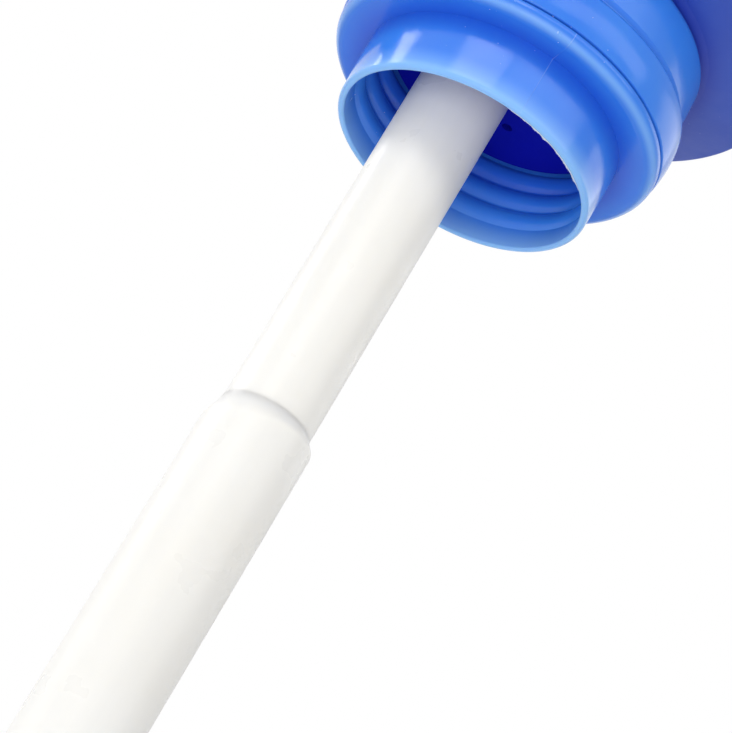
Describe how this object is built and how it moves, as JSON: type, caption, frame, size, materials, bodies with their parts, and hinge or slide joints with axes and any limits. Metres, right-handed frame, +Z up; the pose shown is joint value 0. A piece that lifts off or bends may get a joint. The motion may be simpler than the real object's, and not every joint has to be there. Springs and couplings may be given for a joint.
{
  "type": "bottle water pump",
  "caption": "Hand-press pump for a water bottle: a bellows cap pumps air in and water rises through a telescoping tube to a swivelling spout.",
  "frame": {"origin": "centre of the collar's mouth, where the bottle's neck enters", "axes": "+Z up the pump's axis to the press cap, +X towards the spout, the vent button faces -Y"},
  "size_m": [0.1637, 0.1102, 0.5976],
  "materials": {
    "blue_shell": "moulded, semi-gloss",
    "blue_bellows": "soft, satin",
    "tube_plastic": "milky, smooth",
    "white_plastic": "moulded, smooth",
    "seal_silicone": "matt silicone",
    "pad_rubber": "soft, matt",
    "inner_plastic": "natural, matt",
    "spring_steel": "drawn wire"
  },
  "bodies": {
    "housing": {"neck_collar": "blue_shell", "neck_gasket": "seal_silicone", "valve_housing": "blue_shell", "air_check_valve": "seal_silicone", "riser_o_ring": "seal_silicone", "upper_tube": "tube_plastic", "upper_tube_o_ring": "seal_silicone", "spout_nut": "blue_shell", "vent_plug": "blue_shell", "vent_spring": "spring_steel", "guide_plate": "inner_plastic", "bellows": "blue_bellows", "return_spring": "spring_steel"},
    "press_head": {"press_cap": "blue_shell", "palm_pad": "pad_rubber", "cap_plate": "inner_plastic", "guide_stem": "inner_plastic", "cap_screws": "spring_steel", "inlet_valve": "seal_silicone"},
    "spout": {"spout_elbow": "blue_shell", "spout_tip": "white_plastic", "spout_o_ring": "seal_silicone"},
    "vent_button": {"vent_button": "white_plastic", "vent_poppet": "seal_silicone"},
    "middle_tube": {"middle_tube": "tube_plastic", "middle_tube_o_ring": "seal_silicone"},
    "lower_tube": {"lower_tube": "tube_plastic", "tube_foot": "white_plastic"}
  },
  "joints": [
    {"name": "press_stroke", "type": "slide", "parent": "housing", "child": "press_head", "axis": [0, 0, -1], "range_m": [0, 0.03], "stiffness_N_per_m": 800, "springref_m": -0.01, "deforming": ["bellows", "return_spring"]},
    {"name": "vent_press", "type": "slide", "parent": "housing", "child": "vent_button", "axis": [0, 1, 0], "range_m": [0, 0.003], "stiffness_N_per_m": 400, "springref_m": -0.003, "deforming": ["vent_spring"]},
    {"name": "spout_swivel", "type": "hinge", "parent": "housing", "child": "spout", "pos_m": [0.054, 0, 0.033], "axis": [1, 0, 0], "range_deg": [-90, 90]},
    {"name": "middle_tube_slide", "type": "slide", "parent": "housing", "child": "middle_tube", "axis": [0, 0, -1], "range_m": [-0.09, 0.07]},
    {"name": "lower_tube_slide", "type": "slide", "parent": "middle_tube", "child": "lower_tube", "axis": [0, 0, -1], "range_m": [-0.16, 0.005]}
  ]
}
